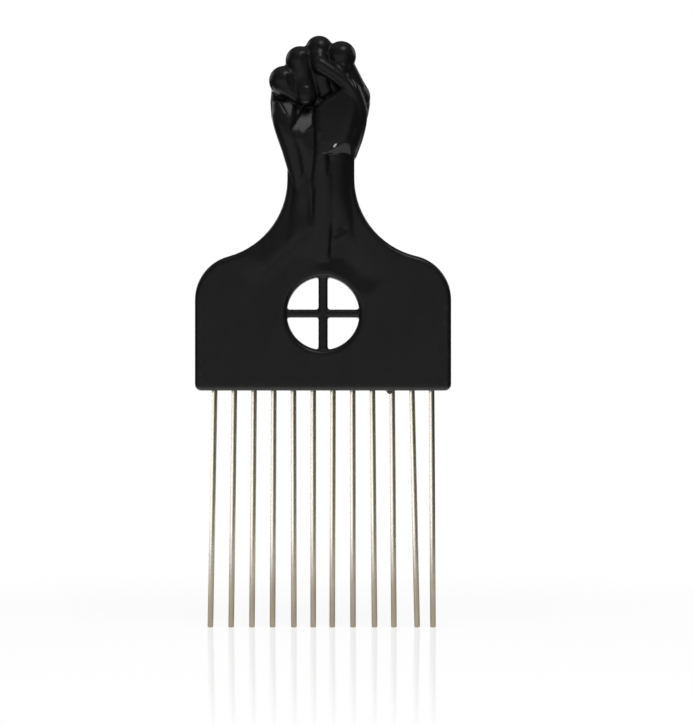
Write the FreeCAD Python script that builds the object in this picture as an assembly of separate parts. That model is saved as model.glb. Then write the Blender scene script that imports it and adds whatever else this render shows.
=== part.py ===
import FreeCAD, Part

import math
import os

from FreeCAD import Matrix, Placement, Rotation, Vector

# A hair pick: a row of steel tines moulded into a black handle whose grip ends in a raised fist.
# Millimetres. The pick stands on its tines: +Z runs up to the knuckles, +X is across, -Y faces the palm side.

# Tines: straight wires, the outer two set in from the plate's sides
tine_count = 12
tine_margin = 5.5
tine_diameter = 1.6
tine_free_length = 67.3
tine_tip_chamfer = 0.25

# How far each tip stands out of line with its root, from left to right
tine_tip_drift = (-1.2, -0.9, -0.6, -0.35, 0.1, 0.0, -0.2, 0.1, 0.6, 0.5, 1.5, 0.4)

# The buried end of each tine is rolled flat for the plastic to grip, and stops short of the window
anchor_cover = 3.1
paddle_width = 2.4
paddle_thickness = 1.0
paddle_length = 2.5

# Plate that holds the tines
plate_width = 72.7
plate_thickness = 7.0
plate_corner_radius = 1.8
plate_edge_round = 1.5
shoulder_radius = 12.75
shoulder_rise = 25.8

# Neck between the plate and the wrist, a little off the middle
neck_width = 19.05
neck_shift = -0.62
neck_sweep_radius = 22.6
wrist_rise = 64.7
neck_bury = 4.0

# Round window with its cross, which lies below the plate's faces
window_radius = 10.3
window_rise = 21.9
window_edge_round = 0.6
upright_bar_width = 2.65
level_bar_width = 2.3
bar_recess = 1.0
bar_edge_round = 0.7

# Forearm that stands out of the neck on both faces, spreads towards the plate and sinks into it
forearm_depth = 12.4
forearm_inset = 0.4
forearm_length = 31.0
forearm_foot_left = -17.5
forearm_foot_right = 13.0
forearm_foot_bury = 0.7

# Fist: overall depth, the step where it meets the neck, and how far the thumb stands in front of the fingers
fist_depth = 17.4
wrist_step = 0.35
thumb_stand = 1.5

# Palm and back of the hand as ovals: rise above the wrist, left edge, right edge,
# how much thinner than the whole fist, and how far the centre lies towards the back
palm_ovals = (
    (6.6, -12.9, 10.2, 3.6, 0.1),
    (13.4, -14.7, 12.7, 2.6, 0.3),
    (17.6, -15.0, 13.3, 2.6, 0.5),
    (21.5, -14.6, 12.2, 4.0, 0.9),
)

# Fingers from little to index, each as the bend at the top of the fist, then the folded end at the palm,
# with their place across, rise above the wrist and radius, and last the place across of the bone's foot
fingers = (
    ((-11.1, 23.1, 4.27), (-6.3, 17.6, 3.2), -6.2),
    ((-6.5, 28.8, 4.18), (-3.9, 18.6, 3.2), -3.0),
    ((-1.1, 32.02, 3.98), (-0.6, 19.5, 3.3), 0.4),
    ((5.15, 30.15, 4.27), (4.3, 20.5, 3.4), 3.8),
)
knuckle_drop = 1.2
knuckle_taper = 0.3
joint_swell = 0.3
bone_foot_rise = 5.0
bone_foot_cover = 2.7
bone_foot_radius = 4.4

# Thumb from its root to its tip, each joint as place across, rise above the wrist, set back and radius
thumb = (
    (9.4, 12.5, 1.7, 4.0),
    (9.4, 18.0, 1.0, 3.4),
    (4.9, 24.0, 0.2, 2.7),
    (-1.0, 27.6, 0.0, 2.6),
)

# Web between the index finger and the root of the thumb: place across, towards the back, rise and radius
web_top = (5.0, 2.2, 26.6, 4.1)
web_foot = (9.0, 0.4, 18.8, 4.5)

# Pads of the palm: place across, rise above the wrist, set back from the thumb's front,
# then half sizes across, in depth and in height
thumb_pad = (3.7, 10.4, 0.7, (7.0, 4.6, 8.8))
outer_pad = (-8.0, 9.6, 1.2, (5.3, 4.5, 8.1))

# Levels and edges that the rest is placed by
tine_pitch = (plate_width - 2 * tine_margin) / (tine_count - 1)
anchor_depth = window_rise - window_radius - anchor_cover
plate_bottom = tine_free_length
window_level = plate_bottom + window_rise
shoulder_level = plate_bottom + shoulder_rise
wrist_level = plate_bottom + wrist_rise
neck_top = wrist_level + neck_bury
neck_left = neck_shift - neck_width / 2
neck_right = neck_shift + neck_width / 2
fist_front = -fist_depth / 2
fist_back = fist_depth / 2


def stand_on(shape, start, direction):
    """Turns a shape built along +Z to a direction and sets its base at start."""
    shape.Placement = Placement(start, Rotation(Vector(0, 0, 1), direction))
    return shape


def rounded_cone(start, start_radius, end, end_radius):
    """Two balls and the cone that wraps them, as one solid of revolution."""
    axis = end.sub(start)
    length = axis.Length
    slope = math.asin((start_radius - end_radius) / length)
    pole = math.pi / 2

    def on_ball(centre, radius, angle):
        return Vector(radius * math.cos(angle), 0, centre + radius * math.sin(angle))

    base = on_ball(0, start_radius, -pole)
    low_middle = on_ball(0, start_radius, (slope - pole) / 2)
    low = on_ball(0, start_radius, slope)
    high = on_ball(length, end_radius, slope)
    high_middle = on_ball(length, end_radius, (slope + pole) / 2)
    top = on_ball(length, end_radius, pole)
    profile = Part.Wire([
        Part.Arc(base, low_middle, low).toShape(),
        Part.makeLine(low, high),
        Part.Arc(high, high_middle, top).toShape(),
        Part.makeLine(top, base),
    ])
    turned = Part.Face(profile).revolve(Vector(0, 0, 0), Vector(0, 0, 1), 360)
    return stand_on(Part.Solid(turned), start, axis)


def egg(centre, half_sizes):
    """An ellipsoid from its centre and half sizes."""
    stretch = Matrix()
    stretch.scale(*half_sizes)
    solid = Part.makeSphere(1.0).transformGeometry(stretch)
    solid.translate(centre)
    return solid


def oval(level, left, right, depth, back=0.0):
    """A level ellipse between two edges, as a wire."""
    centre = Vector((left + right) / 2, back, level)
    return Part.Wire([Part.Ellipse(centre, (right - left) / 2, depth / 2).toShape()])


def arc_about(centre, start, end):
    """The shorter arc about a centre from start to end."""
    from_start = start.sub(centre)
    middle = from_start.add(end.sub(centre)).normalize().multiply(from_start.Length)
    return Part.Arc(start, centre.add(middle), end).toShape()


def side_edges(side, neck_edge):
    """One side of the plate's outline from the bottom up: corner, side, shoulder, sweep and neck."""
    half = plate_width / 2

    def at(x, z):
        return Vector(x, 0, z)

    corner_centre = at(side * (half - plate_corner_radius), plate_bottom + plate_corner_radius)
    shoulder_centre = at(side * (half - shoulder_radius), shoulder_level)
    reach = shoulder_radius + neck_sweep_radius
    sweep_x = neck_edge + side * neck_sweep_radius
    sweep_z = shoulder_level + math.sqrt(reach ** 2 - (sweep_x - shoulder_centre.x) ** 2)
    sweep_centre = at(sweep_x, sweep_z)
    meet = shoulder_centre.add(sweep_centre.sub(shoulder_centre).multiply(shoulder_radius / reach))
    foot = at(corner_centre.x, plate_bottom)
    side_low = at(side * half, corner_centre.z)
    side_high = at(side * half, shoulder_level)
    neck_low = at(neck_edge, sweep_z)
    neck_high = at(neck_edge, neck_top)
    edges = [
        arc_about(corner_centre, foot, side_low),
        Part.makeLine(side_low, side_high),
        arc_about(shoulder_centre, side_high, meet),
        arc_about(sweep_centre, meet, neck_low),
        Part.makeLine(neck_low, neck_high),
    ]
    return foot, neck_high, edges


def make_plate():
    """Plate and neck with their rims rounded, apart from the neck's end, which lies inside the wrist."""
    left_foot, left_top, left_edges = side_edges(-1, neck_left)
    right_foot, right_top, right_edges = side_edges(1, neck_right)
    edges = left_edges + right_edges
    edges += [Part.makeLine(left_top, right_top), Part.makeLine(left_foot, right_foot)]
    face = Part.Face(Part.Wire(Part.sortEdges(edges)[0]))
    face.translate(Vector(0, -plate_thickness / 2, 0))
    plate = face.extrude(Vector(0, plate_thickness, 0))
    rim = [
        edge for edge in plate.Edges
        if edge.BoundBox.YLength < plate_thickness / 2 and edge.BoundBox.ZMin < wrist_level
    ]
    return plate.makeFillet(min(plate_edge_round, 0.9 * plate_corner_radius, 0.45 * plate_thickness), rim)


def make_bar(width, height):
    """One bar of the window's cross, its long edges rounded."""
    depth = plate_thickness - 2 * bar_recess
    corner = Vector(-width / 2, -depth / 2, window_level - height / 2)
    bar = Part.makeBox(width, depth, height, corner)
    across_ends = [edge for edge in bar.Edges if edge.Length > 2 * window_radius]
    return bar.makeFillet(min(bar_edge_round, 0.4 * min(width, height, depth)), across_ends)


def make_window():
    """The window's four openings: a round hole with rounded rims, less the cross."""
    half = plate_thickness / 2
    outside = fist_depth
    flare = min(window_edge_round, 0.45 * bar_recess)

    def at(reach, depth):
        return Vector(reach, depth, 0)

    def rim(face):
        """The rounded rim at one face, from the hole's wall out to the face."""
        inward = -math.copysign(flare, face)
        return arc_about(
            at(window_radius + flare, face + inward),
            at(window_radius, face + inward),
            at(window_radius + flare, face),
        )

    profile = Part.Wire([
        Part.makeLine(at(0, -outside), at(window_radius + flare, -outside)),
        Part.makeLine(at(window_radius + flare, -outside), at(window_radius + flare, -half)),
        rim(-half),
        Part.makeLine(at(window_radius, flare - half), at(window_radius, half - flare)),
        rim(half),
        Part.makeLine(at(window_radius + flare, half), at(window_radius + flare, outside)),
        Part.makeLine(at(window_radius + flare, outside), at(0, outside)),
        Part.makeLine(at(0, outside), at(0, -outside)),
    ])
    hole = Part.Solid(Part.Face(profile).revolve(Vector(0, 0, 0), Vector(0, 1, 0), 360))
    hole.translate(Vector(0, 0, window_level))
    span = 2.4 * window_radius
    cross = make_bar(upright_bar_width, span).fuse(make_bar(span, level_bar_width))
    return hole.cut(cross)


def make_forearm():
    """The forearm: full at the wrist, wider and flatter towards the plate, with its foot inside the plate."""
    left = neck_left + forearm_inset
    right = neck_right - forearm_inset
    foot_depth = plate_thickness - 2 * forearm_foot_bury

    def station(fallen, spread, thinned):
        """An oval some share of the way from the wrist to the foot."""
        return oval(
            wrist_level - fallen * forearm_length,
            left + spread * (forearm_foot_left - left),
            right + spread * (forearm_foot_right - right),
            forearm_depth + thinned * (foot_depth - forearm_depth),
        )

    top = oval(neck_top, left, right, forearm_depth)
    return Part.makeLoft([top, station(0.3, 0.0, 0.05), station(0.65, 0.25, 0.45), station(1.0, 1.0, 1.0)], True)


def make_palm():
    """The mass of the hand, from the step at the wrist up to where the fingers start."""
    wrist_depth = forearm_depth + 2 * wrist_step
    rings = [oval(wrist_level, neck_left - wrist_step, neck_right + wrist_step, wrist_depth)]
    for rise, left, right, thinner, back in palm_ovals:
        rings.append(oval(wrist_level + rise, left, right, fist_depth - thinner, back))
    return Part.makeLoft(rings, True)


def make_pad(across, rise, set_back, half_sizes):
    """One pad of the palm, placed from the wrist and from the front of the fist."""
    half_depth = half_sizes[1]
    return egg(Vector(across, fist_front + set_back + half_depth, wrist_level + rise), half_sizes)


def make_finger(bend_at, fold_at, bone_foot_x):
    """A finger's bone in the back of the hand, its first length over the top, and its fold down the front."""
    bend_x, bend_rise, bend_radius = bend_at
    fold_x, fold_rise, fold_radius = fold_at
    finger_front = fist_front + thumb_stand
    bone_foot_y = fist_back - bone_foot_cover - bone_foot_radius
    bone_foot = Vector(bone_foot_x, bone_foot_y, wrist_level + bone_foot_rise)
    knuckle_radius = bend_radius - knuckle_taper
    knuckle = Vector(bend_x, fist_back - knuckle_radius, wrist_level + bend_rise - knuckle_drop)
    bend = Vector(bend_x, finger_front + bend_radius, wrist_level + bend_rise)
    fold = Vector(fold_x, finger_front + fold_radius, wrist_level + fold_rise)
    return [
        rounded_cone(bone_foot, bone_foot_radius, knuckle, knuckle_radius - joint_swell),
        rounded_cone(knuckle, knuckle_radius, bend, bend_radius),
        rounded_cone(bend, bend_radius - joint_swell, fold, fold_radius),
    ]


def make_thumb():
    """The thumb from the heel of the hand, laid across the front of the fingers."""
    joints = [(Vector(x, fist_front + back + r, wrist_level + rise), r) for x, rise, back, r in thumb]
    return [rounded_cone(start, r - joint_swell, *end) for (start, r), end in zip(joints, joints[1:])]


def make_web():
    """The fold of flesh from the index finger to the root of the thumb."""
    top_x, top_y, top_rise, top_radius = web_top
    foot_x, foot_y, foot_rise, foot_radius = web_foot
    top = Vector(top_x, top_y, wrist_level + top_rise)
    foot = Vector(foot_x, foot_y, wrist_level + foot_rise)
    return rounded_cone(foot, foot_radius, top, top_radius)


def make_fist():
    """Palm, pads, web, fingers and thumb as one solid."""
    pieces = [make_pad(*thumb_pad), make_pad(*outer_pad), make_web()]
    for finger in fingers:
        pieces += make_finger(*finger)
    pieces += make_thumb()
    fist = make_palm()
    for piece in pieces:
        fist = fist.fuse(piece)
    return fist


def make_tine(index):
    """One wire: chamfered tip, straight shank leaning a little, and the flat at its buried end."""
    root = Vector(index * tine_pitch - plate_width / 2 + tine_margin, 0, plate_bottom)
    tip = Vector(root.x + tine_tip_drift[index % len(tine_tip_drift)], 0, 0)
    axis = root.sub(tip)
    shank = axis.Length + anchor_depth - paddle_length
    rod = Part.makeCylinder(tine_diameter / 2, shank)
    tip_rim = [edge for edge in rod.Edges if edge.BoundBox.ZMax < tine_diameter]
    rod = rod.makeChamfer(min(tine_tip_chamfer, 0.4 * tine_diameter), tip_rim)
    corner = Vector(-paddle_width / 2, -paddle_thickness / 2, shank)
    paddle = Part.makeBox(paddle_width, paddle_thickness, paddle_length, corner)
    return stand_on(rod.fuse(paddle), tip, axis)


def make_handle(tines):
    """Plate, forearm and fist in one moulding, with the window cut out and the tines' shapes left in it."""
    handle = make_plate().fuse(make_forearm()).fuse(make_fist()).cut(make_window())
    for tine in tines:
        handle = handle.cut(tine)
    return handle.removeSplitter()


tines = [make_tine(index) for index in range(tine_count)]
nodes = {"handle": make_handle(tines)}
nodes.update({f"tine_{index + 1:02d}": tine for index, tine in enumerate(tines)})

os.makedirs("parts", exist_ok=True)
for name, shape in nodes.items():
    shape.exportStep(f"parts/{name}.step")
    print(name, "valid", shape.isValid(), "solids", len(shape.Solids), "volume", round(shape.Volume, 1))
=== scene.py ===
import math

import bpy
import numpy as np
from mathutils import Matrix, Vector


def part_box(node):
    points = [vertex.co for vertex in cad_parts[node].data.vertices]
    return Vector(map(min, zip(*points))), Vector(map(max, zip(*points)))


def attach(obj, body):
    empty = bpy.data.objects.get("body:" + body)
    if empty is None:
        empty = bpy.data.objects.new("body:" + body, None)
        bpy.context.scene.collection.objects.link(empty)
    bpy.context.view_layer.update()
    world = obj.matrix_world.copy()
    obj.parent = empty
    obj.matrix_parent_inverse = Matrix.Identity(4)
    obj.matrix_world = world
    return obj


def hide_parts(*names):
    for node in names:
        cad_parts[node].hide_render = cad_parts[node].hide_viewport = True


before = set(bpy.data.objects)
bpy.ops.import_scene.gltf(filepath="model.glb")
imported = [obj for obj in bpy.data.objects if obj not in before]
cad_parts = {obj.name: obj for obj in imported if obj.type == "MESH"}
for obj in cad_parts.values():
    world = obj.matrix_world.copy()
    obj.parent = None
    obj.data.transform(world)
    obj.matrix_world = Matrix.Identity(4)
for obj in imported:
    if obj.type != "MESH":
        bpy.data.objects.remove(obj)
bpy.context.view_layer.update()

# A black moulded fist pick with steel tines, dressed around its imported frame.
# The handle is modelled in millimetres, as from lumps of clay, and brought to metres at the end.

MM = 0.001

# Sizes taken from the frame, in millimetres
handle_low, handle_high = (Vector(corner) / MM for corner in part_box("handle"))
plate_bottom = handle_low.z
plate_half_width = handle_high.x
fist_front = handle_low.y
fist_back = handle_high.y
tine_names = sorted(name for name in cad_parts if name.startswith("tine_"))

# Plate, neck and window
plate_half_thickness = 3.5
plate_corner_radius = 1.8
rim_round = 1.5
shoulder_radius = 12.75
shoulder_level = plate_bottom + 25.8
neck_left = -10.15
neck_right = 8.9
neck_sweep_radius = 22.6
wrist_level = plate_bottom + 64.7
neck_top = wrist_level + 4.0
window_level = plate_bottom + 21.9
window_radius = 10.3
upright_bar_width = 2.65
level_bar_width = 2.3
bar_half_depth = 2.5
bar_round = 0.8

# Fingers from little to index. First the knuckle at the back: place across, rise above the wrist and radius,
# with the place across of the bone's foot. Then the joints of the folded length from its bend to its end:
# place across, rise above the wrist, set back from the finger fronts and radius.
fingers = (
    (((-11.0, 22.2, 3.9), -6.2),
     ((-11.1, 23.1, 0.0, 4.27), (-9.6, 21.2, 0.5, 3.4), (-7.2, 19.2, 1.2, 3.1))),
    (((-6.4, 27.8, 3.9), -3.0),
     ((-6.5, 28.8, 0.0, 4.18), (-5.7, 23.9, 0.7, 2.9), (-4.9, 18.6, 0.1, 3.0))),
    (((-1.1, 30.4, 3.8), 0.4),
     ((-1.3, 29.5, 0.0, 3.3), (-0.8, 25.0, 1.5, 3.0), (0.6, 20.4, 2.2, 3.0))),
    (((5.0, 29.3, 4.0), 3.8),
     ((5.15, 30.15, 0.0, 4.27), (5.15, 28.0, 0.7, 3.3), (5.2, 25.6, -0.1, 2.6), (4.6, 21.5, 2.4, 3.0))),
)
bone_foot_rise = 5.0
bone_foot_radius = 4.4
bone_foot_cover = 2.7
bone_taper = 0.3
finger_front = fist_front + 1.5

# The middle finger's upper bend stands above its lower one
middle_cap = (-1.1, 32.02, 0.9, 3.98)

# Thumb from its root to its tip: place across, rise above the wrist, set back from the fist's front, radius
thumb = (
    (6.6, 3.0, 5.6, 3.2),
    (8.2, 9.0, 3.4, 3.7),
    (9.0, 14.5, 1.9, 3.6),
    (8.0, 20.0, 0.8, 2.7),
    (4.4, 23.8, 0.2, 2.2),
    (-0.8, 27.4, 0.0, 2.4),
)

# Web between thumb and index finger, two limbs: each joint's place from the wrist and its radius
webs = (
    (((9.0, 0.4, 18.8), 4.5), ((5.0, 2.2, 26.6), 4.1)),
    (((9.2, -2.9, 21.8), 2.6), ((6.9, -3.4, 27.2), 2.2)),
)

# Masses of the hand and arm: rise above the wrist, left edge, right edge, front and back of each level
palm = (
    (-7.0, neck_left + 1.3, neck_right - 1.3, -4.9, 4.9),
    (-1.0, neck_left + 0.4, neck_right - 0.4, -5.9, 5.9),
    (2.0, neck_left - 0.8, neck_right + 0.2, -6.4, 6.5),
    (6.6, -12.9, 10.2, -7.4, 7.1),
    (10.0, -14.0, 11.5, -6.4, 7.3),
    (13.4, -14.8, 12.8, -4.9, 7.5),
    (17.6, -15.1, 13.5, -3.0, 7.6),
    (21.5, -14.7, 12.3, -2.4, 7.5),
)
ball_of_thumb = (
    (2.2, -2.7, 7.7, -7.95, 2.0),
    (5.6, -2.7, 8.2, -8.15, 2.0),
    (12.0, -2.7, 9.9, -8.1, 2.0),
    (14.8, -2.4, 10.4, -8.0, 2.0),
    (17.0, -0.2, 10.6, -7.8, 2.0),
    (19.3, 3.0, 10.4, -7.4, 2.0),
    (21.5, 5.8, 9.6, -6.8, 2.0),
)
outer_pad = (
    (-9.0, -8.4, -4.6, -4.6, 2.0),
    (-3.0, -9.8, -4.6, -6.0, 2.0),
    (3.0, -11.6, -5.2, -6.9, 2.0),
    (7.5, -13.2, -6.4, -7.2, 2.0),
    (10.5, -14.1, -7.0, -7.1, 2.0),
    (13.5, -14.5, -7.4, -6.6, 2.0),
    (17.2, -14.4, -7.8, -5.3, 2.0),
)
tendon = (
    (9.0, -2.8, 1.6, -8.05, 0.0),
    (4.0, -2.8, 1.6, -7.75, 0.0),
    (1.0, -3.0, 2.2, -7.3, -0.8),
    (-4.0, -3.6, 3.4, -6.6, -1.7),
    (-9.0, -3.8, 3.8, -6.35, -1.5),
    (-20.0, -4.0, 4.0, -5.1, -0.5),
    (-28.0, -4.0, 4.0, -3.7, 0.0),
)
forearm = (
    (4.0, neck_left + 0.4, neck_right - 0.4, -6.2, 6.2),
    (-9.3, neck_left + 0.4, neck_right - 0.4, -6.0, 6.0),
    (-20.0, -12.3, 11.2, -4.75, 4.75),
    (-31.0, -20.0, 19.0, -2.8, 2.8),
)

# Planes shaved on the palm side: corners of the patch across and in rise above the wrist, the depth at its
# first corner, how much deeper it gets to the right and upwards, and how soft its edge is
palm_planes = (
    # the hollow of the palm
    (((-8.6, 7.6), (-5.9, 7.6), (-2.0, 10.6), (-2.0, 16.0), (-5.0, 16.0), (-9.2, 9.4)),
     -7.3, 0.16, 0.52, 0.3),
    # the top of the outer pad
    (((-9.2, 11.8), (-6.6, 13.8), (-8.4, 18.0), (-12.3, 17.2)), -7.0, 0.16, 0.52, 0.3),
    # the outer pad's slope to the wrist, which looks away to the right
    (((-7.4, 7.6), (-6.8, -3.0), (-2.0, -3.0), (-2.0, 9.8)), -7.1, 0.26, 0.0, 0.6),
)

# The heel's slope, which looks down to the right, shaved on the ball of the thumb
heel_planes = (
    (((0.0, 0.5), (10.5, 0.5), (10.5, 9.5), (0.0, 9.5)), -6.5, 0.45, -0.85, 0.4),
)

# The valley beside the tendon, shaved on the forearm
forearm_planes = (
    (((-8.6, 2.0), (-8.6, -14.0), (-2.0, -18.0), (-2.0, 2.0)), -6.1, 0.2, 0.0, 1.0),
)

# Shaved on the finished fist: the thumb's flank, and the right sides of the ring and little fingers
fist_planes = (
    (((7.3, 23.9), (9.4, 19.4), (10.9, 19.4), (9.3, 23.4)), -5.8, 0.16, 0.54, 0.4),
    (((-6.3, 30.5), (-5.6, 21.2), (-3.6, 21.2), (-3.6, 30.5)), -7.1, 0.36, 0.0, 0.5),
    (((-10.4, 25.2), (-9.4, 19.8), (-7.2, 19.0), (-7.7, 23.4)), -6.95, 0.4, 0.0, 0.4),
)

# How far a plane's edge is eased into the skin around it
plane_rounding = 0.3

# Lines worked into the palm side: points across and in rise above the wrist, how deep,
# and how wide on the left and on the right of the line as it runs. A ridge has a depth below nought.
strokes = (
    # creases beside the tendon
    (((-2.6, -5.5), (-3.1, -11.5), (-3.4, -18.4)), 0.35, (0.6, 0.9)),
    (((1.9, 2.4), (1.5, -4.4)), 0.35, (0.6, 0.6)),
    (((2.9, -16.4), (2.5, -21.0), (2.1, -28.5)), 0.35, (0.6, 0.6)),
    (((7.2, -18.2), (2.4, -21.6)), 0.5, (0.8, 0.8)),
    # the left ridge of the flare below the forearm
    (((-1.0, -16.0), (-11.0, -24.0), (-22.0, -34.2)), -0.7, (2.2, 5.0)),
)

# The slope of the flare that looks away beside the window: its path, how far the skin sinks on the left of the
# path and rises on its right, and how far off the most of that is
flare_slopes = (
    (((0.0, -25.8), (14.0, -38.2)), 0.45, 3.0),
)

# The share of a line or slope's length that it fades out in at each end, and how fully it is pressed into skin
# that turns aside
stroke_fade = 0.28
stroke_grip = 1.6

# The drip of plastic under the plate's lower edge
drip_place = (19.0, -0.4, plate_bottom - 0.3)
drip_half_sizes = (0.95, 0.8, 0.75)

# The whitish spot painted at the heel of the hand as a glint of light: its place from the wrist, its turn in
# degrees and its half sizes
glint_place = (3.4, -7.9, 4.4)
glint_turn = 42
glint_half_sizes = (0.34, 1.5, 0.85)

# Tines, and how far each tip has drifted to the right
tine_radius = 0.8
tine_tip_ease = 0.25
tine_buried = 8.5
tine_margin = 5.5
tine_drift = (-1.2, -0.9, -0.6, -0.35, 0.1, 0.0, -0.2, 0.1, 0.6, 0.5, 1.5, 0.4)

# How boxy the masses are, where 2 is an ellipse
palm_fullness = 2.6
thumb_ball_fullness = 4.0
forearm_fullness = 2.6
tendon_fullness = 2.3

# How fine the modelled skin is, how many faces it is thinned out to, and how often it is rubbed to feel its edges
clay_voxel = 0.22
skin_voxel = 0.25
skin_faces = 88000
edge_rubs = 30

# The view: its lens, how tall the picture is in pixels, how many millimetres of the object's plane one pixel
# shows, and the middle of the picture across and up
lens = 135
picture_height = 725
mm_per_pixel = 0.28436
view_across = 6.65
view_level = 75.3


def at_wrist(x, y, rise):
    return Vector((x, y, wrist_level + rise))


def select_only(*pieces):
    """Selects some pieces and makes the first one active."""
    bpy.ops.object.select_all(action="DESELECT")
    for piece in pieces:
        piece.select_set(True)
    bpy.context.view_layer.objects.active = pieces[0]


def join(pieces, name=None):
    """Makes one object of several."""
    select_only(*pieces)
    if len(pieces) > 1:
        bpy.ops.object.join()
    piece = bpy.context.object
    if name:
        piece.name = name
        piece.data.name = name
    return piece


def settle(piece):
    """Moves an object's place, turn and scale into its mesh."""
    select_only(piece)
    bpy.ops.object.transform_apply(location=True, rotation=True, scale=True)
    return piece


def finish_with(piece, kind, **settings):
    """Adds one modifier and applies it."""
    select_only(piece)
    modifier = piece.modifiers.new(kind.lower(), kind)
    for key, value in settings.items():
        setattr(modifier, key, value)
    bpy.ops.object.modifier_apply(modifier=modifier.name)
    return piece


def wrap(pieces):
    """Draws one tight skin over several pieces."""
    piece = join(pieces)
    bpy.ops.object.mode_set(mode="EDIT")
    bpy.ops.mesh.select_all(action="SELECT")
    bpy.ops.mesh.convex_hull()
    bpy.ops.object.mode_set(mode="OBJECT")
    return piece


def ball(centre, radius):
    bpy.ops.object.select_all(action="DESELECT")
    bpy.ops.mesh.primitive_uv_sphere_add(segments=36, ring_count=18, radius=radius, location=centre)
    return settle(bpy.context.object)


def lump(centre, half_sizes):
    """An egg of given half sizes."""
    bpy.ops.object.select_all(action="DESELECT")
    bpy.ops.mesh.primitive_uv_sphere_add(segments=48, ring_count=24, radius=1, location=centre)
    piece = bpy.context.object
    piece.scale = half_sizes
    return settle(piece)


def limb(joints, steps=1):
    """A chain of balls, each pair wrapped: joints are (place, radius), run through in smooth steps."""
    rows = np.array([(*place, radius) for place, radius in joints])
    ends = np.vstack([2 * rows[0] - rows[1], rows, 2 * rows[-1] - rows[-2]])
    chain = [rows[0]]
    for before, start, end, after in zip(ends, ends[1:], ends[2:], ends[3:]):
        for t in np.linspace(0, 1, steps + 1)[1:]:
            chain.append(0.5 * (2 * start + (end - before) * t
                                + (2 * before - 5 * start + 4 * end - after) * t ** 2
                                + (3 * start - before - 3 * end + after) * t ** 3))
    return [wrap([ball(start[:3], start[3]), ball(end[:3], end[3])]) for start, end in zip(chain, chain[1:])]


def oval(level, fullness):
    """A level oval of a mass, from an ellipse at fullness 2 towards a rounded box."""
    rise, left, right, front, back = level
    bpy.ops.object.select_all(action="DESELECT")
    centre = at_wrist((left + right) / 2, (front + back) / 2, rise)
    bpy.ops.mesh.primitive_circle_add(vertices=72, radius=1, fill_type="NGON", location=centre)
    piece = bpy.context.object
    for vertex in piece.data.vertices:
        vertex.co /= (abs(vertex.co.x) ** fullness + abs(vertex.co.y) ** fullness) ** (1 / fullness)
    piece.scale = ((right - left) / 2, (back - front) / 2, 1)
    return settle(piece)


def loft(levels, fullness):
    """A solid run through the levels of a mass."""
    return [wrap([oval(low, fullness), oval(high, fullness)]) for low, high in zip(levels, levels[1:])]


def melt(pieces, voxel, name=None):
    """Joins lumps into one even skin."""
    piece = join(pieces, name)
    return finish_with(piece, "REMESH", mode="VOXEL", voxel_size=voxel)


def soften(piece, times):
    """Rubs a skin smooth."""
    return finish_with(piece, "SMOOTH", factor=0.5, iterations=times)


def arc(centre, radius, start, end, steps=16):
    """Points of an arc in the plate's plane, angles in degrees."""
    angles = np.radians(np.linspace(start, end, steps))
    return [(centre[0] + radius * math.cos(a), centre[1] + radius * math.sin(a)) for a in angles]


def side_outline(side, neck_edge):
    """One side of the plate from its foot up to the neck, as points across and up."""
    reach = shoulder_radius + neck_sweep_radius
    shoulder_x = plate_half_width - shoulder_radius
    sweep_x = side * neck_edge + neck_sweep_radius
    rise = math.sqrt(reach ** 2 - (sweep_x - shoulder_x) ** 2)
    lean = math.degrees(math.atan2(rise, sweep_x - shoulder_x))
    corner = (plate_half_width - plate_corner_radius, plate_bottom + plate_corner_radius)
    points = arc(corner, plate_corner_radius, -90, 0)
    points += arc((shoulder_x, shoulder_level), shoulder_radius, 0, lean)
    points += arc((sweep_x, shoulder_level + rise), neck_sweep_radius, lean + 180, 180)[1:]
    points.append((side * neck_edge, neck_top))
    return [(side * x, z) for x, z in points]


def plate_blank():
    """Plate and neck with the round window, rims rounded, from one flat outline."""
    curve = bpy.data.curves.new("plate", "CURVE")
    curve.dimensions = "2D"
    curve.fill_mode = "BOTH"
    curve.extrude = plate_half_thickness - rim_round
    curve.bevel_depth = rim_round
    curve.bevel_resolution = 6
    curve.offset = -rim_round
    outline = side_outline(1, neck_right) + side_outline(-1, neck_left)[::-1]
    window = arc((0, window_level), window_radius, 0, 360, 97)[:-1]
    for points in (outline, window):
        spline = curve.splines.new("POLY")
        spline.points.add(len(points) - 1)
        spline.points.foreach_set("co", [v for x, z in points for v in (x, z, 0, 1)])
        spline.use_cyclic_u = True
    piece = bpy.data.objects.new("plate", curve)
    bpy.context.collection.objects.link(piece)
    select_only(piece)
    bpy.ops.object.convert(target="MESH")
    piece = bpy.context.object
    piece.rotation_euler = (math.pi / 2, 0, 0)
    return settle(piece)


def bar(width, height):
    """One bar of the window's cross with rounded edges."""
    bpy.ops.object.select_all(action="DESELECT")
    bpy.ops.mesh.primitive_cube_add(size=1, location=(0, 0, window_level))
    piece = bpy.context.object
    piece.scale = (width, 2 * bar_half_depth, height)
    settle(piece)
    return finish_with(piece, "BEVEL", width=bar_round, segments=5)


def hand_flesh():
    """Palm, outer pad, web and back of the hand, rubbed together."""
    masses = loft(palm, palm_fullness) + loft(outer_pad, palm_fullness)
    for joints in webs:
        masses += limb([(at_wrist(*place), radius) for place, radius in joints])
    for ((x, rise, radius), foot_x), _ in fingers:
        foot = at_wrist(foot_x, fist_back - bone_foot_radius - bone_foot_cover, bone_foot_rise)
        masses += limb([(foot, bone_foot_radius), (at_wrist(x, fist_back - radius, rise), radius - bone_taper)])
    piece = soften(melt(masses, clay_voxel), 16)
    return soften(shave(piece, palm_planes), 3)


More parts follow.
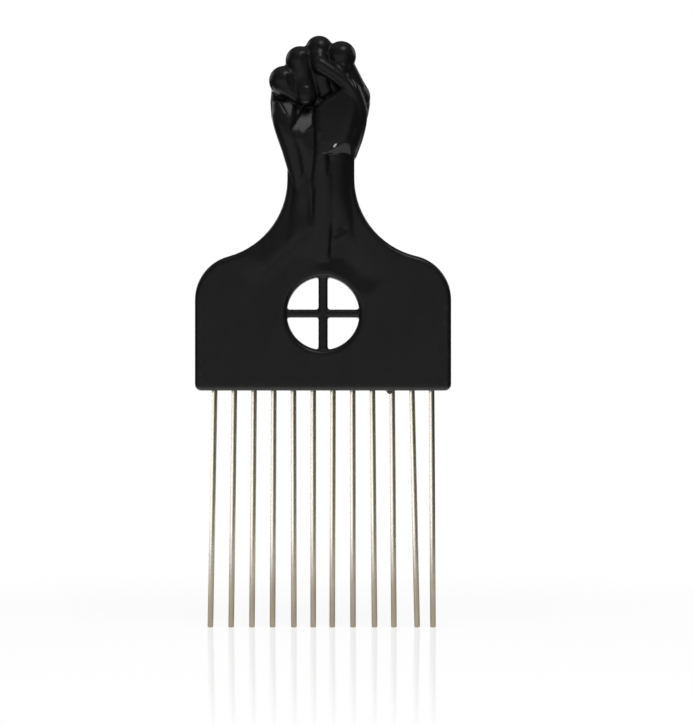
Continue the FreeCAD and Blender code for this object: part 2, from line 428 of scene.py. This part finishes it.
def hand_fingers():
    """Lumps of the four folded fingers and the thumb."""
    def in_front(front, joints):
        return [(at_wrist(x, front + back + radius, rise), radius) for x, rise, back, radius in joints]

    pieces = []
    for ((x, rise, radius), _), joints in fingers:
        folded = in_front(finger_front, joints)
        pieces += limb([(at_wrist(x, fist_back - radius, rise), radius), folded[0]]) + limb(folded, 3)
    (x, rise, radius), _ = fingers[2][0]
    pieces += limb([(at_wrist(x, fist_back - radius, rise), radius)] + in_front(finger_front, [middle_cap]))
    return pieces + limb(in_front(fist_front, thumb), 4)


def mesh_arrays(piece):
    """The places and normals of a mesh's points."""
    arrays = []
    for field in ("co", "normal"):
        flat = np.empty(3 * len(piece.data.vertices))
        piece.data.vertices.foreach_get(field, flat)
        arrays.append(flat.reshape(-1, 3))
    return arrays


def put_back(piece, points):
    piece.data.vertices.foreach_set("co", points.ravel())
    piece.data.update()


def shave(piece, planes):
    """Takes off what stands in front of each plane within its patch, on the palm side alone."""
    points, _ = mesh_arrays(piece)
    across, up = points[:, 0], points[:, 2] - wrist_level
    for corners, depth, to_right, upwards, soft in planes:
        within = np.full(len(points), np.inf)
        for (x0, z0), (x1, z1) in zip(corners, corners[1:] + corners[:1]):
            span = math.hypot(x1 - x0, z1 - z0)
            within = np.minimum(within, ((x1 - x0) * (up - z0) - (z1 - z0) * (across - x0)) / span)
        share = np.clip(within / (2 * soft) + 0.5, 0, 1) * (points[:, 1] < 0)
        share = share * share * (3 - 2 * share)
        first_x, first_z = corners[0]
        proud = depth + to_right * (across - first_x) + upwards * (up - first_z) - points[:, 1]
        points[:, 1] += share * (proud + np.sqrt(proud ** 2 + plane_rounding ** 2)) / 2
    put_back(piece, points)
    return piece


def along_path(across, up, path):
    """How far each point is off a path, above nought on its left, and its share, which fades near the ends."""
    spans = [math.dist(start, end) for start, end in zip(path, path[1:])]
    nearest = np.full(len(across), np.inf)
    side = np.zeros(len(across))
    along = np.zeros(len(across))
    run = 0.0
    for (x0, z0), (x1, z1), span in zip(path, path[1:], spans):
        dx, dz = (x1 - x0) / span, (z1 - z0) / span
        step = np.clip((across - x0) * dx + (up - z0) * dz, 0, span)
        off_x, off_z = across - x0 - step * dx, up - z0 - step * dz
        distance = np.hypot(off_x, off_z)
        closer = distance < nearest
        nearest = np.where(closer, distance, nearest)
        side = np.where(closer, off_z * dx - off_x * dz, side)
        along = np.where(closer, run + step, along)
        run += span
    fade = np.clip(np.minimum(along, run - along) / (stroke_fade * run), 0, 1)
    return np.where(side > 0, nearest, -nearest), fade * fade * (3 - 2 * fade)


def work_strokes(piece):
    """Presses the strokes and slopes into the faces that look to the front."""
    points, normals = mesh_arrays(piece)
    across, up = points[:, 0], points[:, 2] - wrist_level
    facing = np.clip(-stroke_grip * normals[:, 1], 0, 1)
    for path, depth, widths in strokes:
        off, share = along_path(across, up, path)
        off = off / np.where(off > 0, widths[0], widths[1])
        points[:, 1] += facing * share * depth * np.exp(-off ** 2)
    for path, fall, reach in flare_slopes:
        off, share = along_path(across, up, path)
        off = off / reach
        points[:, 1] += facing * share * fall * off * np.exp((1 - off ** 2) / 2)
    put_back(piece, points)


def feel_edges(piece, times):
    """Marks how far each point stands out of, or lies in, the smoothed surface around it, in millimetres."""
    points, normals = mesh_arrays(piece)
    ends = np.empty(2 * len(piece.data.edges), np.int32)
    piece.data.edges.foreach_get("vertices", ends)
    one, other = ends.reshape(-1, 2).T
    count = np.bincount(ends, minlength=len(points))[:, None]
    smooth = points
    for _ in range(times):
        total = [np.bincount(one, smooth[other, axis], len(points))
                 + np.bincount(other, smooth[one, axis], len(points)) for axis in range(3)]
        smooth = (smooth + np.stack(total, 1) / count) / 2
    mark = piece.data.attributes.new("edge", "FLOAT", "POINT")
    mark.data.foreach_set("value", ((points - smooth) * normals).sum(1) / MM)


def make_handle():
    """Hand, arm and plate grown into one skin, with the planes and lines of the palm side worked in."""
    flesh = hand_flesh()
    arm = soften(melt(loft(forearm, forearm_fullness), clay_voxel), 20)
    soften(shave(arm, forearm_planes), 8)
    thumb_side = soften(melt(loft(ball_of_thumb, thumb_ball_fullness), clay_voxel), 5)
    soften(shave(thumb_side, heel_planes), 2)
    arm = soften(melt([arm] + loft(tendon, tendon_fullness), clay_voxel), 18)
    bar_length = 2.2 * window_radius
    plate = [plate_blank(), bar(upright_bar_width, bar_length), bar(bar_length, level_bar_width)]
    drip = lump(drip_place, drip_half_sizes)
    digits = soften(melt(hand_fingers(), clay_voxel), 26)
    piece = melt([flesh, arm, thumb_side, digits, drip] + plate, skin_voxel, "handle_moulding")
    soften(piece, 5)
    soften(shave(piece, fist_planes), 1)
    work_strokes(piece)
    soften(piece, 1)
    finish_with(piece, "DECIMATE", ratio=min(1, skin_faces / len(piece.data.polygons)))
    piece.scale = (MM, MM, MM)
    settle(piece)
    bpy.ops.object.shade_smooth()
    feel_edges(piece, edge_rubs)
    return piece


def make_tine():
    """One wire in millimetres, its tip at the origin and its buried end up, with the blunt tip eased."""
    bpy.ops.object.select_all(action="DESELECT")
    length = plate_bottom + tine_buried
    bpy.ops.mesh.primitive_cylinder_add(
        vertices=32, radius=tine_radius, depth=length, location=(0, 0, length / 2))
    piece = settle(bpy.context.object)
    for edge in piece.data.edges:
        edge.select = all(piece.data.vertices[i].co.z < 0.01 for i in edge.vertices)
    bpy.ops.object.mode_set(mode="EDIT")
    bpy.ops.mesh.select_mode(type="EDGE")
    bpy.ops.mesh.bevel(offset=tine_tip_ease, segments=3)
    bpy.ops.object.mode_set(mode="OBJECT")
    bpy.ops.object.shade_smooth_by_angle(angle=math.radians(40))
    return piece


def place_tines(pattern):
    """Copies of the wire, each leaning from its root in the plate to its drifted tip."""
    pitch = 2 * (plate_half_width - tine_margin) / (len(tine_names) - 1)
    pieces = []
    for index, (name, drift) in enumerate(zip(tine_names, tine_drift)):
        piece = pattern.copy()
        piece.data = pattern.data.copy()
        bpy.context.collection.objects.link(piece)
        piece.name = piece.data.name = name + "_wire"
        root_x = index * pitch - plate_half_width + tine_margin
        lean = math.atan2(-drift, plate_bottom)
        piece.rotation_euler = (0, lean, 0)
        piece.location = ((root_x + drift) * MM, 0, tine_radius * abs(math.sin(lean)) * MM)
        piece.scale = (MM, MM, MM)
        pieces.append(settle(piece))
    bpy.data.objects.remove(pattern)
    return pieces


# Kinds of ray that the floor and the room tell apart
ray_kinds = ("Is Camera Ray", "Is Glossy Ray", "Is Transmission Ray")


class Wire:
    """A socket of a material's nodes that is reckoned with like a number."""

    def __init__(self, tree, socket):
        self.tree, self.socket = tree, socket

    @classmethod
    def node(cls, tree, kind, settings=None, inputs=None, output=0):
        """Adds a node: its settings first, then the values or wires of its sockets."""
        node = tree.nodes.new("ShaderNode" + kind)
        for key, value in (settings or {}).items():
            setattr(node, key, value)
        for key, value in (inputs or {}).items():
            socket = node.inputs[key] if isinstance(key, int) else next(
                s for s in node.inputs if key in (s.identifier, s.name))
            if isinstance(value, Wire):
                tree.links.new(value.socket, socket)
            else:
                socket.default_value = value
        if not node.outputs:
            return None
        return cls(tree, node.outputs[output] if isinstance(output, int) else next(
            s for s in node.outputs if output in (s.identifier, s.name)))

    def reckon(self, operation, *values):
        return Wire.node(self.tree, "Math", {"operation": operation}, dict(enumerate(values)))

    def __add__(self, other):
        return self.reckon("ADD", self, other)

    def __sub__(self, other):
        return self.reckon("SUBTRACT", self, other)

    def __rsub__(self, other):
        return self.reckon("SUBTRACT", other, self)

    def __mul__(self, other):
        return self.reckon("MULTIPLY", self, other)

    __radd__ = __add__
    __rmul__ = __mul__

    def largest(self, other):
        return self.reckon("MAXIMUM", self, other)

    def step(self, low, high, start=0.0, end=1.0):
        """Runs softly from start to end as the value goes from low to high."""
        return Wire.node(self.tree, "MapRange", {"interpolation_type": "SMOOTHSTEP"}, {
            "Value": self, "From Min": low, "From Max": high, "To Min": start, "To Max": end})

    def blend(self, first, second):
        """A colour between two, by this share."""
        return Wire.node(self.tree, "Mix", {"data_type": "RGBA"}, {
            "Factor_Float": self, "A_Color": first, "B_Color": second}, "Result_Color")


def new_material(name):
    material = bpy.data.materials.new(name)
    material.use_nodes = True
    material.node_tree.nodes.clear()
    return material


def noise(tree, size, stretch=(1, 1, 1), turn=(0, 0, 0), detail=2.0, wobble=0.0):
    """Cloudy noise on the piece itself: blotches of one size in metres, stretched and turned."""
    place = Wire.node(tree, "TexCoord", output="Object")
    place = Wire.node(tree, "Mapping", {"vector_type": "TEXTURE"}, {
        "Vector": place, "Rotation": [math.radians(a) for a in turn], "Scale": [size * s for s in stretch]})
    return Wire.node(tree, "TexNoise", None, {
        "Vector": place, "Scale": 1.0, "Detail": detail, "Roughness": 0.55, "Distortion": wobble}, "Fac")


def painted_glint_spot(tree, place, turn, half_sizes):
    """A share that is one inside a small egg on the piece, all in millimetres and degrees."""
    inside = Wire.node(tree, "Mapping", {"vector_type": "TEXTURE"}, {
        "Vector": Wire.node(tree, "TexCoord", output="Object"), "Location": [v * MM for v in place],
        "Rotation": (0, math.radians(turn), 0), "Scale": [v * MM for v in half_sizes]})
    return Wire.node(tree, "VectorMath", {"operation": "LENGTH"}, {0: inside}, "Value").step(1.0, 0.5)


def black_plastic():
    """Glossy injection-moulded plastic: slight ripple, flow marks, handling haze and hairlines,
    rubbed at its edges, with one whitish spot painted at the heel of the hand as the glint of light on an edge."""
    material = new_material("black_plastic")
    tree = material.node_tree
    edge = Wire.node(tree, "Attribute", {"attribute_name": "edge"}, None, "Fac")
    ripple = noise(tree, 2.2 * MM, detail=1.5)
    grain = noise(tree, 0.28 * MM, detail=2.0)
    flow = noise(tree, 9 * MM, (1.0, 1.0, 3.5), (0, 14, 0), 3.0, 0.6)
    haze = noise(tree, 5 * MM, detail=5.0, wobble=0.4).step(0.45, 0.75)
    broken = noise(tree, 1.6 * MM, detail=3.0).step(0.4, 0.7)
    hairs = noise(tree, 0.16 * MM, (1, 1, 110), (0, 63, 0), 1.0).step(0.69, 0.76)
    more_hairs = noise(tree, 0.2 * MM, (1, 1, 90), (0, -38, 0), 1.0).step(0.70, 0.77)
    scratches = hairs.largest(more_hairs) * noise(tree, 14 * MM, detail=2.0).step(0.42, 0.62)
    rubbed = edge.step(0.03, 0.16) * broken
    sunk = edge.step(-0.05, -0.25)
    tone = flow.step(0.3, 0.7).blend((0.0042, 0.0042, 0.0042, 1), (0.0062, 0.0062, 0.0059, 1))
    tone = (rubbed * 0.15).blend(tone, (0.020, 0.020, 0.019, 1))
    tone = (scratches * 0.35).blend(tone, (0.026, 0.026, 0.025, 1))
    # A whitish spot painted at the heel of the hand, standing in for the glint of light on its edge
    glint_share = painted_glint_spot(tree, at_wrist(*glint_place), glint_turn, glint_half_sizes)
    tone = glint_share.blend(tone, (0.55, 0.55, 0.53, 1))
    roughness = 0.26 + 0.05 * haze + 0.05 * flow + 0.10 * scratches + 0.09 * sunk - 0.03 * rubbed
    height = 0.75 * ripple + 0.10 * grain + 0.35 * flow - 0.10 * scratches
    bump = Wire.node(tree, "Bump", None, {"Strength": 0.30, "Distance": 0.12 * MM, "Height": height})
    surface = Wire.node(tree, "BsdfPrincipled", None, {
        "Base Color": tone, "Roughness": roughness, "IOR": 1.5, "Normal": bump})
    Wire.node(tree, "OutputMaterial", None, {"Surface": surface})
    return material


def plated_steel():
    """Nickelled spring wire: drawing lines along it, a warm tint, duller and darker towards the tips."""
    material = new_material("tine_steel")
    tree = material.node_tree
    place = Wire.node(tree, "TexCoord", output="Object")
    height = Wire.node(tree, "SeparateXYZ", None, {"Vector": place}, "Z")
    lines = noise(tree, 0.07 * MM, (1, 1, 90), detail=2.0)
    cloud = noise(tree, 2.5 * MM, (1, 1, 3), detail=4.0)
    low_end = height.step(34 * MM, 2 * MM)
    dull = (low_end * 0.75 + cloud * 0.5 - 0.2).step(0.0, 0.9)
    tint = dull.blend((0.78, 0.73, 0.63, 1), (0.40, 0.355, 0.265, 1))
    tint = (lines.step(0.55, 0.8) * 0.14).blend(tint, (0.30, 0.28, 0.24, 1))
    roughness = 0.20 + 0.10 * lines + 0.07 * dull
    bump = Wire.node(tree, "Bump", None, {
        "Strength": 0.10, "Distance": 0.02 * MM, "Height": lines + 0.3 * cloud})
    surface = Wire.node(tree, "BsdfPrincipled", None, {
        "Base Color": tint, "Metallic": 1.0, "Roughness": roughness, "Normal": bump})
    Wire.node(tree, "OutputMaterial", None, {"Surface": surface})
    return material


def floor_paper():
    """Smooth white paper, shown as a white ground that keeps the shadow and a faint mirror image."""
    material = new_material("floor_paper")
    tree = material.node_tree
    camera, glossy, through = (Wire.node(tree, "LightPath", output=kind) for kind in ray_kinds)
    seen = camera.largest(glossy).largest(through)
    place = Wire.node(tree, "TexCoord", output="Object")
    away, off_middle = (
        Wire.node(tree, "VectorMath", {"operation": "DISTANCE"}, {0: place, 1: (0, y, 0)}, "Value")
        for y in (0.06, -0.02))
    behind = Wire.node(tree, "SeparateXYZ", None, {"Vector": place}, "Y").step(0.06, 0.1)
    fibres = noise(tree, 1.5 * MM, detail=4.0)
    tone = fibres.blend((0.885, 0.885, 0.885, 1), (0.915, 0.915, 0.915, 1))
    sheet = Wire.node(tree, "BsdfPrincipled", None, {
        "Base Color": tone, "Roughness": 0.06 + 0.04 * fibres, "Specular IOR Level": 0.5})
    white = Wire.node(tree, "Emission", None, {"Color": (1, 1, 1, 1), "Strength": 1.0})
    surface = Wire.node(tree, "MixShader", None, {
        0: seen * off_middle.step(0.1, 0.25, 0.7, 1.0), 1: sheet, 2: white})
    # The plastic mirrors the room below instead of the ground far in front
    open_room = Wire.node(tree, "BsdfTransparent")
    surface = Wire.node(tree, "MixShader", None, {
        0: glossy * away.step(0.145, 0.165) * (1 - behind), 1: surface, 2: open_room})
    Wire.node(tree, "OutputMaterial", None, {"Surface": surface})
    return material


def studio():
    """A dim room, lighter to the front and left, with a white ground behind the object."""
    world = bpy.data.worlds.new("studio")
    world.use_nodes = True
    tree = world.node_tree
    tree.nodes.clear()
    towards = Wire.node(tree, "TexCoord", output="Generated")
    lit_side = Wire.node(tree, "VectorMath", {"operation": "DOT_PRODUCT"}, {
        0: towards, 1: (-0.2, -0.98, 0)}, "Value")
    behind, up = (Wire.node(tree, "SeparateXYZ", None, {"Vector": towards}, axis) for axis in "YZ")
    camera, glossy, through = (Wire.node(tree, "LightPath", output=kind) for kind in ray_kinds)
    dim, lit, white = (Wire.node(tree, "Background", None, {"Color": (1, 1, 1, 1), "Strength": strength})
                       for strength in (0.035, 0.36, 1.0))
    room = Wire.node(tree, "MixShader", None, {
        0: lit_side.step(0.35, 0.97) * up.step(-0.02, 0.17, 1.0, 0.1), 1: dim, 2: lit})
    glow = Wire.node(tree, "Background", None, {"Color": (1, 1, 1, 1), "Strength": 0.16})
    room = Wire.node(tree, "MixShader", None, {0: up.step(0.6, 0.95), 1: room, 2: glow})
    shown = camera.largest(through).largest(glossy * behind.step(0.86, 0.99))
    room = Wire.node(tree, "MixShader", None, {0: shown, 1: room, 2: white})
    Wire.node(tree, "OutputWorld", None, {"Surface": room})
    return world


def soft_light(name, place, aim, size, strength):
    """A soft box whose face is as bright as strength, where 1 is white."""
    data = bpy.data.lights.new(name, "AREA")
    data.shape = "ELLIPSE"
    data.size, data.size_y = size
    data.energy = strength * math.pi * size[0] * size[1]
    lamp = bpy.data.objects.new(name, data)
    bpy.context.collection.objects.link(lamp)
    lamp.location = place
    lamp.rotation_euler = (Vector(aim) - Vector(place)).to_track_quat("-Z", "Y").to_euler()
    return lamp


handle = make_handle()
handle.data.materials.clear()
handle.data.materials.append(black_plastic())
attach(handle, "root")
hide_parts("handle")

steel = plated_steel()
bright_wires = bpy.data.collections.new("bright_wires")
for piece, name in zip(place_tines(make_tine()), tine_names):
    piece.data.materials.append(steel)
    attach(piece, "root")
    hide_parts(name)
    bright_wires.objects.link(piece)

# Floor, room and lamps, in metres
bpy.ops.object.select_all(action="DESELECT")
bpy.ops.mesh.primitive_plane_add(size=1)
floor = bpy.context.object
floor.name = "floor"
floor.scale = (0.7, 0.56, 1)
settle(floor)
floor.data.materials.append(floor_paper())
bpy.context.scene.world = studio()

soft_light("overhead", (0.175, -0.364, 0.719), (0, 0, 0.145), (0.32, 0.32), 1.6)
for lamp in (soft_light("tine_light", (-0.55, -0.45, 0.05), (0, 0, 0.035), (0.8, 0.5), 1.5),
             soft_light("tine_edge_light", (-0.6, 0.35, 0.05), (0, 0, 0.035), (0.9, 0.5), 1.3)):
    lamp.light_linking.receiver_collection = bright_wires
soft_light("back_left", (-0.55, 0.4, 0.42), (0, 0, 0.11), (0.4, 0.4), 0.6)
soft_light("back_right", (0.55, 0.4, 0.42), (0, 0, 0.11), (0.4, 0.4), 0.6)
fill = soft_light("fill", (0, -0.5, 0.9), (0, 0, 0.08), (1.2, 1.0), 3.2)
fill.visible_glossy = False

camera_data = bpy.data.cameras.new("camera")
camera = bpy.data.objects.new("camera", camera_data)
bpy.context.collection.objects.link(camera)
bpy.context.scene.camera = camera
camera_data.lens = lens
distance = picture_height * mm_per_pixel * MM * lens / camera_data.sensor_width
camera.location = (view_across * MM, -distance, view_level * MM)
camera.rotation_euler = (math.pi / 2, 0, 0)

bpy.context.scene.view_settings.view_transform = "Standard"
